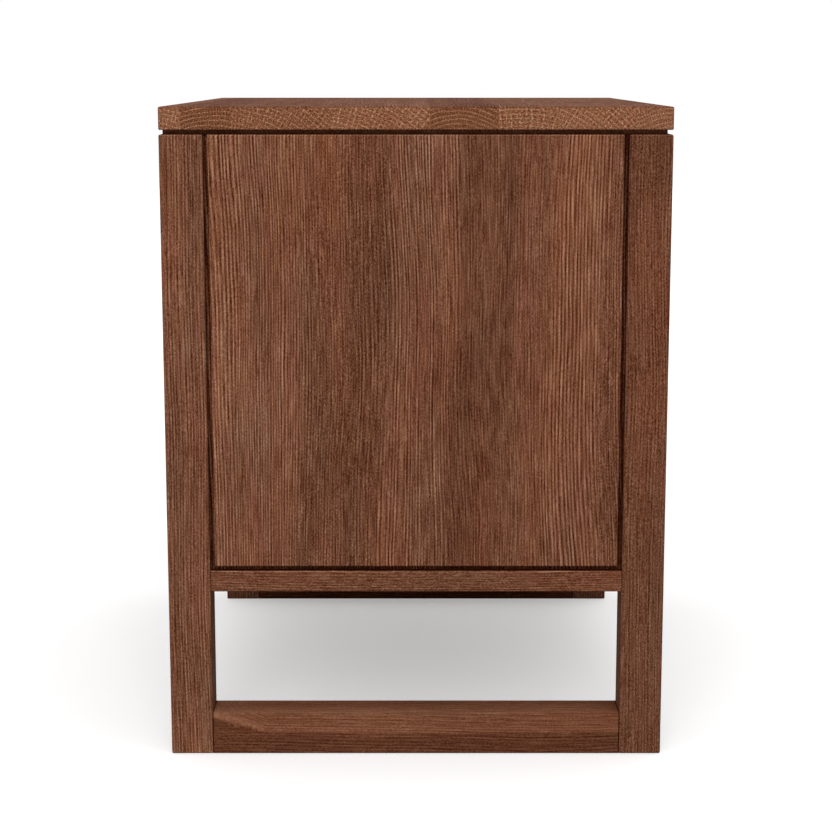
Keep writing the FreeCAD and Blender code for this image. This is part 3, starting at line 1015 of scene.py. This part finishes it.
def add_piece(
    mesh: bmesh.types.BMesh, name: str, body: str, node: str, slot: str, *finishes: Finish
) -> str:
    """Makes a piece of a finished mesh and lets it stand for a node.

    Args:
        mesh: The mesh, which is used up.
        name: The piece's name.
        body: The body that it rides on.
        node: The node that it stands for.
        slot: Not used.
        finishes: Its finishes, in the order of its faces' numbers.

    Returns:
        The piece's name, for the log.
    """
    bmesh.ops.recalc_face_normals(mesh, faces=mesh.faces)
    piece = add_mesh(name, mesh, *finishes)
    piece.data.shade_smooth()
    piece.data.set_sharp_from_angle(angle=SHARP)
    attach(piece, body)
    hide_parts(node)
    return name


class Boards:
    """A sub-assembly of solids that keep their shape."""

    def finishes(self) -> dict[str, Finish]:
        """The finish of each solid, under its node's name."""
        raise NotImplementedError

    def build(self) -> Iterable[str]:
        """Dresses the solids, with a line for the log for each."""
        return (dress(node, finish) for node, finish in self.finishes().items())


@dataclass
class TopBoard(Boards):
    """The top and the thin board under it that makes the shadow line.

    Attributes:
        shift: Which part of the wood's pattern they are cut from.
    """

    shift: float = 29.0

    def finishes(self) -> dict[str, Finish]:
        """Chooses the finishes.

        Returns:
            The finish of each solid, under its node's name.
        """
        look = {"grain": Axis.X, "tone": -0.035, "lines": 0.8, "run": 0.04, "sway": 0.006}
        top = TopOak("top_oak", **look, speckle=1.5, shift=self.shift)
        # The spacer sits in the shadow line under the top, and its low tone is painted shade.
        spacer = SpacerOak("spacer_oak", Axis.X, tone=-0.25, lines=0.5, shift=self.shift + 1)
        return {"top_panel": top, "top_spacer": spacer}


@dataclass
class SideFrame(Boards):
    """A side of the cabinet: two posts, what lies between them, and the panel.

    Attributes:
        side: Which side it is.
        front_post_tone: How much lighter its front post is than the stain's middle.
        rear_post_tone: How much lighter its rear post is.
        shift: Which part of the wood's pattern its boards are cut from.
    """

    side: Side
    front_post_tone: float = 0.08
    rear_post_tone: float = 0.015
    shift: float = 0.0

    def finishes(self) -> dict[str, Finish]:
        """Chooses the finishes.

        Returns:
            The finish of each solid, under its node's name.
        """
        side, shift = self.side.value, self.shift
        inward = -1.0 if self.side is Side.RIGHT else 1.0
        # Painted light: the posts get lighter towards their feet, and the front posts' faces that look
        # back get painted shade.
        front = {"lines": 0.85, "speckle": 0.9, "olive": 0.5, "fade": -0.16, "back_shade": 0.13}
        rear = {"lines": 0.62, "sway": 0.006, "fade": -0.22}
        rail = {"lines": 0.75, "pitch": 0.0024, "run": 0.01, "joint": 0.25}
        foot = {"lines": 0.5, "run": 0.016, "sway": 0.006, "speckle": 0.65, "olive": 0.05}
        # The stretchers get more painted shade on their inner faces, and a little painted shade instead
        # of a highlight on their upward edges.
        foot |= {"inner_shade": 0.22, "joint": 0.5, "edge_light": -0.05}
        chosen = {
            "front_post": ("front_post", FrameOak, Axis.Z, self.front_post_tone, front),
            "rear_post": ("rear_post", FrameOak, Axis.Z, self.rear_post_tone, rear),
            "lower_rail": ("rail", FrameOak, Axis.Y, 0.0, rail),
            "floor_stretcher": ("stretcher", CurledOak, Axis.Y, -0.06, foot),
        }
        boards = {
            f"{side}_{node}": kind(
                f"{side}_{name}_oak", grain, tone, shift=shift + number, inward=inward, **look
            )
            for number, (node, (name, kind, grain, tone, look)) in enumerate(chosen.items(), 1)
        }
        turned = self.side is Side.LEFT
        panel = PanelOak(f"{side}_panel_oak", sway=0.008, shift=shift + 5, turned=turned)
        inner = PaleWood(f"{side}_inner_wood", shift=shift + 6)
        pale = {f"{side}_{name}": inner for name in ("upper_batten", "lower_batten", "top_cleat")}
        return {**boards, f"{side}_side_panel": panel, **pale}


@dataclass
class CrossRails(Boards):
    """The rails that run across the cabinet, from one side frame to the other.

    Attributes:
        rails: Their names, each a little darker than the one before.
        shift: Which part of the wood's pattern they are cut from.
    """

    rails: tuple[str, ...] = (
        "front_lower_rail",
        "front_top_rail",
        "middle_rail",
        "rear_lower_rail",
        "rear_top_rail",
    )
    shift: float = 40.0

    def finishes(self) -> dict[str, Finish]:
        """Chooses the finishes.

        Returns:
            The finish of each solid, under its node's name.
        """
        return {
            name: StainedOak(f"{name}_oak", Axis.X, -0.01 * number, 0.8, shift=self.shift + number)
            for number, name in enumerate(self.rails)
        }


@dataclass
class CasePanels(Boards):
    """The back and the bottom of the case, of veneered sheet.

    Attributes:
        shift: Which part of the wood's pattern they are cut from.
        heart: Where the tree's middle lies across the back.
    """

    shift: float = 50.0
    heart: float = 0.03

    def finishes(self) -> dict[str, Finish]:
        """Chooses the finishes.

        Returns:
            The finish of each solid, under its node's name.
        """
        look = {"heart": self.heart, "lean": 0.16, "shift": self.shift}
        back = CrownOak("back_veneer", Axis.Z, tone=-0.02, lines=0.8, run=0.04, **look)
        look = {"lines": 0.7, "run": 0.05, "shift": self.shift + 1}
        return {"back_panel": back, "bottom_panel": StainedOak("bottom_veneer", Axis.X, -0.02, **look)}


@dataclass
class Drawer(Boards):
    """A drawer: its front, and its dovetailed box.

    Attributes:
        level: Which drawer it is.
        heart: How high the middle of its front's tree lies.
        shift: Which part of the wood's pattern its boards are cut from.
    """

    level: Level
    heart: float
    shift: float = 0.0

    def finishes(self) -> dict[str, Finish]:
        """Chooses the finishes.

        Returns:
            The finish of each solid, under its node's name.
        """
        level = self.level.value
        look = {"lines": 0.9, "pitch": 0.0042, "heart": self.heart, "lean": 0.14}
        front = CrownOak(f"{level}_front_oak", Axis.X, shift=self.shift + 1, **look)
        ends = PaleWood(f"{level}_box_end_wood", Axis.X, self.shift + 2)
        sides = PaleWood(f"{level}_box_side_wood", Axis.Y, self.shift + 3)
        bottom = PaleWood(f"{level}_box_bottom_wood", Axis.X, self.shift + 4)
        box = {"front": ends, "back": ends, "left_side": sides, "right_side": sides, "bottom": bottom}
        boards = {f"{level}_box_{name}": finish for name, finish in box.items()}
        return {f"{level}_drawer_front": front, **boards}


@dataclass
class BallCages:
    """The ball cages of a drawer's two slides, of thin sheet with a window for each ball.

    Attributes:
        level: Which drawer's they are.
        member: The member that they touch: the outer or the inner one.
        sheet: How thick the sheet is.
        balls: How many balls a row has.
        ball_radius: The radius of a ball.
        window: Half the width of a window.
        bend: The radius of the sheet's bends.
        near: How far from a cage its own balls may be.
    """

    level: Level
    member: Member
    sheet: float = 0.0004
    balls: int = 6
    ball_radius: float = 0.002
    window: float = 0.00184
    bend: float = 0.0006
    near: float = 0.004

    def add_cage(self, mesh: bmesh.types.BMesh, low: Vector, high: Vector, ball_x: float) -> None:
        """Adds one cage, a channel whose flanges have windows.

        Args:
            mesh: The mesh that it is added to.
            low: The lowest corner of the cage.
            high: The highest corner.
            ball_x: How far across its balls' middles are.
        """
        web_x, tip_x = sorted((low.x, high.x), key=lambda x: -abs(x - ball_x))
        toward = math.copysign(1, tip_x - web_x)
        limits = (tip_x - toward * self.sheet, ball_x - toward * self.window)
        xs = (tip_x, *limits, web_x)
        corners = [(x, high.z) for x in xs] + [(x, low.z) for x in reversed(xs)]
        verts = [mesh.verts.new((x, low.y, z)) for x, z in corners]
        ends = [mesh.edges.new(pair) for pair in zip(verts, verts[1:])]
        gap = (high.y - low.y) / self.balls - 2 * self.window
        steps = [gap / 2, *[2 * self.window, gap] * self.balls]
        steps[-1] = gap / 2
        made: list[bmesh.types.BMFace] = []
        holes: list[bmesh.types.BMFace] = []
        for number, step in enumerate(steps):
            grown = bmesh.ops.extrude_edge_only(mesh, edges=ends)["geom"]
            moved = {item for item in grown if isinstance(item, bmesh.types.BMVert)}
            bmesh.ops.translate(mesh, verts=list(moved), vec=(0, step, 0))
            faces = [item for item in grown if isinstance(item, bmesh.types.BMFace)]
            made += faces
            if number % 2:
                holes += [f for f in faces if min(limits) < f.calc_center_median().x < max(limits)]
            ends = [edge for face in faces for edge in face.edges if moved.issuperset(edge.verts)]
        bmesh.ops.delete(mesh, geom=holes, context="FACES")
        edges = dict.fromkeys(edge for face in made if face.is_valid for edge in face.edges)
        bends = [
            edge
            for edge in edges
            if all(abs(vert.co.x - web_x) < 1e-6 for vert in edge.verts)
            and abs(edge.verts[0].co.y - edge.verts[1].co.y) > 1e-6
        ]
        look = {"offset": self.bend, "segments": 2, "profile": 0.5}
        bmesh.ops.bevel(mesh, geom=bends, affect="EDGES", material=-1, **look)

    def build(self) -> Iterable[str]:
        """Builds the cages and their balls.

        Yields:
            A line for the log.
        """
        kind = f"{self.level.value}_{self.member.value}"
        node = f"{kind}_ball_cages"
        longest = 4 * self.ball_radius
        boxes = solid_boxes(node)
        cages = [box for box in boxes if box[1].y - box[0].y > longest]
        spots = [(low + high) / 2 for low, high in boxes if high.y - low.y <= longest]
        mesh = bmesh.new()
        rows = []
        for low, high in cages:
            own = [s for s in spots if low.x - self.near < s.x < high.x + self.near]
            self.add_cage(mesh, low, high, own[0].x)
            pitch = (high.y - low.y) / self.balls
            rows += [
                (own[0].x, low.y + pitch * (number + 0.5), z)
                for z in sorted({round(spot.z, 5) for spot in own})
                for number in range(self.balls)
            ]
        bmesh.ops.recalc_face_normals(mesh, faces=mesh.faces)
        bmesh.ops.solidify(mesh, geom=mesh.faces[:], thickness=self.sheet)
        sheet_faces = set(mesh.faces)
        ball = {"u_segments": 20, "v_segments": 12, "radius": self.ball_radius}
        for spot in rows:
            bmesh.ops.create_uvsphere(mesh, matrix=Matrix.Translation(spot), **ball)
        for face in mesh.faces:
            face.material_index = int(face not in sheet_faces)
        sheet = RolledZinc("cage_sheet", (0.7, 0.71, 0.73), 0.24, 0.5)
        steel = RolledZinc("ball_steel", (0.74, 0.75, 0.77), 0.1, 0.1)
        place = (f"{node}_formed", f"{kind}_cages", node, "bearing_steel")
        yield f"{add_piece(mesh, *place, sheet, steel)} with {self.balls} balls a row"


@dataclass
class Slides(Boards):
    """A drawer's two slides: their members, of sheet, and their ball cages.

    Attributes:
        level: Which drawer's they are.
    """

    level: Level

    def finishes(self) -> dict[str, Finish]:
        """The finish of each member, under its node's name."""
        names = [f"{side.value}_slide_{member.value}" for side in Side for member in Member]
        return {f"{self.level.value}_{name}": RolledZinc("slide_zinc") for name in names}

    def build(self) -> Iterable[str]:
        """Dresses the members and builds the cages.

        Yields:
            A line for the log for each piece.
        """
        yield from super().build()
        for member in (Member.OUTER, Member.INNER):
            yield from BallCages(self.level, member).build()


@dataclass
class ScrewGroup:
    """Screws of one kind that hold the same pieces.

    Attributes:
        node: The node that they stand for.
        body: The body that they ride on.
        head: The shape of their heads.
        run: The way that they are driven, where the same for all, or else None: then they go out
            from the cabinet's middle, or towards it.
        outward: Whether those go out.
        head_radius: The radius of the head.
        head_depth: The head's height, or the depth of its cone.
        shank_radius: The radius over the thread.
        recess: Half the width of the cross recess.
        pitch: How far apart the thread's turns are.
        sides: How many sides a turn of the thread has. The head has twice as many.
        pan: The outline of a pan head, from its face to its seat, as shares of its radius and depth.
        flat: The outline of a flat head's face, as shares of its radius.
        rim: How deep a flat head's edge is.
        core_share: The shank's radius under the thread, as a share of that over it.
        recess_share: How deep and how wide the recess's floor is, as a share of the head and mouth.
        shank_shares: Where the thread begins, where it ends and where the point begins.
    """

    node: str
    body: str
    head: Head
    run: Triple | None = None
    outward: bool = True
    head_radius: float = 0.0042
    head_depth: float = 0.0026
    shank_radius: float = 0.0022
    recess: float = 0.0021
    pitch: float = 0.0018
    sides: int = 12
    pan: tuple[tuple[float, float], ...] = (
        (0.62, 1.0), (0.82, 0.86), (0.96, 0.55), (1.0, 0.2), (0.98, 0.0)
    )
    flat: tuple[float, ...] = (0.62, 0.97)
    rim: float = 0.00015
    core_share: float = 0.72
    recess_share: float = 0.6
    shank_shares: Triple = (0.35, 0.8, 0.85)

    @staticmethod
    def wind(screw: bmesh.types.BMesh, geom: list, turns: int, steps: int, drop: float) -> None:
        """Spins an outline round the screw's axis.

        Args:
            screw: The screw's mesh.
            geom: The outline.
            turns: How many times it goes round.
            steps: How many steps it takes.
            drop: How far down a step goes. If it goes nowhere, the ends are joined.
        """
        bmesh.ops.spin(
            screw,
            geom=geom,
            cent=(0, 0, 0),
            axis=(0, 0, 1),
            dvec=(0, 0, -drop),
            angle=2 * math.pi * turns,
            steps=steps,
            use_merge=not drop,
        )

    def add_recess(self, screw: bmesh.types.BMesh, face_z: float) -> None:
        """Closes the head's face round a cross recess.

        Args:
            screw: The screw's mesh, open at the head's face.
            face_z: The height of that face.
        """
        rim = [
            edge
            for edge in screw.edges
            if edge.is_boundary and all(abs(vert.co.z - face_z) < 1e-6 for vert in edge.verts)
        ]
        half_side = math.pi / (2 * self.sides)
        matrix = Matrix.Translation((0, 0, face_z)) @ Matrix.Rotation(half_side, 4, "Z")
        square = {"x_segments": 3, "y_segments": 3, "size": self.recess}
        grid = bmesh.ops.create_grid(screw, matrix=matrix, **square)["verts"]
        squares = dict.fromkeys(face for vert in grid for face in vert.link_faces)
        corner = self.recess * 0.8
        corners = [face for face in squares if face.calc_center_median().xy.length > corner]
        bmesh.ops.delete(screw, geom=corners, context="FACES")
        cross = [face for face in squares if face.is_valid]
        outline = [edge for face in cross for edge in face.edges if edge.is_boundary]
        bmesh.ops.bridge_loops(screw, edges=rim + outline)
        pressed = bmesh.ops.extrude_face_region(screw, geom=cross)["geom"]
        floor = [item for item in pressed if isinstance(item, bmesh.types.BMVert)]
        bmesh.ops.delete(screw, geom=[f for f in cross if f.is_valid], context="FACES_ONLY")
        share = self.recess_share
        bmesh.ops.translate(screw, verts=floor, vec=(0, 0, -self.head_depth * share))
        bmesh.ops.scale(screw, verts=floor, vec=(share, share, 1.0))

    def add_thread(self, screw: bmesh.types.BMesh, core: float, length: float) -> None:
        """Winds the thread round the shank.

        Args:
            screw: The screw's mesh.
            core: The radius of the shank under the thread.
            length: The screw's length.
        """
        start_share, end_share, _ = self.shank_shares
        start = -max(self.head_depth, length * start_share) - self.pitch
        turns = int((length * end_share + start) / self.pitch)
        crest = ((core * 0.95, 0.0), (self.shank_radius, 0.3), (core * 0.95, 0.6))
        verts = [screw.verts.new((r, 0, start - self.pitch * drop)) for r, drop in crest]
        edges = [screw.edges.new((verts[i], verts[(i + 1) % 3])) for i in range(3)]
        outline = [screw.faces.new(verts), *edges, *verts]
        self.wind(screw, outline, turns, self.sides * turns, self.pitch / self.sides)

    def add_screw(self, mesh: bmesh.types.BMesh, seat: Vector, run: Vector, length: float) -> None:
        """Adds one screw.

        Args:
            mesh: The mesh that it is added to.
            seat: The middle of the head's seat, or of a flat head's face.
            run: The way that the screw is driven.
            length: Its length from there.
        """
        screw = bmesh.new()
        radius, depth = self.head_radius, self.head_depth
        core = self.shank_radius * self.core_share
        if self.head is Head.PAN:
            face_z = depth
            outline = [(radius * r, depth * z) for r, z in self.pan] + [(core, 0.0)]
        else:
            face_z = 0.0
            outline = [(radius * r, 0.0) for r in self.flat] + [(radius, -self.rim), (core, -depth)]
        outline += [(core, -length * self.shank_shares[2]), (core * 0.15, -length)]
        verts = [screw.verts.new((r, 0, z)) for r, z in outline]
        edges = [screw.edges.new(pair) for pair in zip(verts, verts[1:])]
        self.wind(screw, verts + edges, 1, 2 * self.sides, 0.0)
        bmesh.ops.remove_doubles(screw, verts=screw.verts, dist=1e-6)
        self.add_recess(screw, face_z)
        self.add_thread(screw, core, length)
        turn = Vector((0, 0, -1)).rotation_difference(run).to_matrix().to_4x4()
        bmesh.ops.transform(screw, matrix=Matrix.Translation(seat) @ turn, verts=screw.verts)
        bmesh.ops.recalc_face_normals(screw, faces=screw.faces)
        data = bpy.data.meshes.new("one_screw")
        screw.to_mesh(data)
        screw.free()
        mesh.from_mesh(data)
        bpy.data.meshes.remove(data)

    def build(self) -> Iterable[str]:
        """Builds the group.

        Yields:
            A line for the log.
        """
        mesh = bmesh.new()
        boxes = solid_boxes(self.node)
        proud = self.head_depth if self.head is Head.PAN else 0.0
        for low, high in boxes:
            middle = (low + high) / 2
            way = math.copysign(1, middle.x) * (1 if self.outward else -1)
            run = Vector(self.run or (way, 0, 0))
            whole = abs((high - low).dot(run))
            seat = middle - run * (whole / 2 - proud)
            self.add_screw(mesh, seat, run, whole - proud)
        zinc = RolledZinc("screw_zinc", (0.58, 0.58, 0.58), 0.34, 0.2)
        place = (f"{self.node}_threaded", self.body, self.node, "screw_steel")
        yield f"{add_piece(mesh, *place, zinc)}, {len(boxes)} screws"


@dataclass
class Screws:
    """Every screw of the cabinet."""

    def build(self) -> Iterable[str]:
        """Builds each group of screws.

        Yields:
            A line for the log for each group.
        """
        small = {"head_radius": 0.0034, "head_depth": 0.002, "shank_radius": 0.0018, "recess": 0.0016}
        yield from ScrewGroup("top_screws", "carcass", Head.PAN, (0, 0, 1)).build()
        yield from ScrewGroup("case_slide_screws", "carcass", Head.FLAT, **small).build()
        for level in Level:
            name, body = level.value, f"{level.value}_drawer"
            yield from ScrewGroup(f"{name}_front_screws", body, Head.PAN, (0, -1, 0)).build()
            held = ScrewGroup(f"{body}_slide_screws", body, Head.FLAT, outward=False, **small)
            yield from held.build()


@dataclass(frozen=True)
class EvenLight(Recipe):
    """The light from all round, which is white where it is seen.

    Attributes:
        strength: How strong it is elsewhere.
    """

    strength: float = 0.75

    @property
    def tree(self) -> bpy.types.NodeTree:
        """The tree of the scene's world."""
        return bpy.context.scene.world.node_tree

    def build(self) -> None:
        """Makes the world and writes the light into its tree."""
        world = bpy.data.worlds.new("studio_light")
        world.use_nodes = True
        bpy.context.scene.world = world
        self.tree.nodes.clear()
        strength = self.seen() * (1 - self.strength) + self.strength
        sockets = {"Color": (1.0, 1.0, 1.0, 1.0), "Strength": strength}
        background = self.node("ShaderNodeBackground", {}, sockets)
        self.node("ShaderNodeOutputWorld", {}, {"Surface": background})


@dataclass
class Studio:
    """The white floor, the soft lamps and the camera.

    Attributes:
        floor_half: Half the width of the floor.
        floor_drop: How far the floor is under the feet, so that they don't lie in one plane.
        aim: What the lamps point at.
        camera_place: Where the camera stands, square to the cabinet's right side.
        camera_tilt: How far it is tilted up from straight down, in degrees.
    """

    floor_half: float = 8.0
    floor_drop: float = 0.0003
    aim: Triple = (0.0, 0.0, 0.3)
    camera_place: Triple = (1.88446, 0.0, 0.57907)
    camera_tilt: float = 80.0223

    def add_floor(self) -> None:
        """Makes the floor."""
        mesh = bmesh.new()
        bmesh.ops.create_grid(mesh, x_segments=1, y_segments=1, size=self.floor_half)
        bmesh.ops.translate(mesh, verts=mesh.verts, vec=(0.0, 0.0, -self.floor_drop))
        floor = add_mesh("floor", mesh, WhiteFloor("white_floor"))

    def add_lamp(self, name: str, place: Triple, size: float, power: float) -> None:
        """Hangs a square soft lamp.

        Args:
            name: Its name.
            place: Where it hangs.
            size: The length of its side.
            power: Its power in watts.
        """
        lamp = bpy.data.lights.new(name, "AREA")
        lamp.shape, lamp.size, lamp.energy = "SQUARE", size, power
        hung = add_object(name, lamp)
        hung.location = place
        way = Vector(self.aim) - Vector(place)
        hung.rotation_euler = way.to_track_quat("-Z", "Y").to_euler()

    def add_camera(self) -> None:
        """Sets up the camera, square to the cabinet's right side and pitched down at it."""
        lens = bpy.data.cameras.new("camera")
        lens.lens, lens.sensor_width, lens.clip_end = 85.0, 36.0, 100.0
        camera = add_object("camera", lens)
        camera.location = self.camera_place
        camera.rotation_euler = (math.radians(self.camera_tilt), 0.0, math.radians(90.0))
        bpy.context.scene.camera = camera

    def build(self) -> Iterable[str]:
        """Builds the studio.

        Yields:
            A line for the log.
        """
        bpy.context.scene.view_settings.view_transform = "Standard"
        EvenLight().build()
        self.add_floor()
        self.add_lamp("front_lamp", (2.7, -0.15, 1.4), 1.6, 28.0)
        self.add_lamp("over_lamp", (0.3, 0.3, 2.8), 2.2, 14.0)
        self.add_camera()
        yield "floor, two lamps and camera"


def main() -> None:
    """Builds and dresses the cabinet, and sets up the studio."""
    logging.basicConfig(level=logging.INFO, format="%(name)s: %(message)s")
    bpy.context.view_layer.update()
    for part in (
        TopBoard(),
        SideFrame(Side.RIGHT),
        SideFrame(Side.LEFT, front_post_tone=0.04, rear_post_tone=0.08, shift=20.0),
        CrossRails(),
        CasePanels(),
        Drawer(Level.UPPER, heart=0.42, shift=60.0),
        Drawer(Level.LOWER, heart=0.26, shift=70.0),
        Slides(Level.UPPER),
        Slides(Level.LOWER),
        Screws(),
        Studio(),
    ):
        for line in part.build():
            log.info("%s: %s", type(part).__name__, line)


if __name__ == "__main__":
    main()
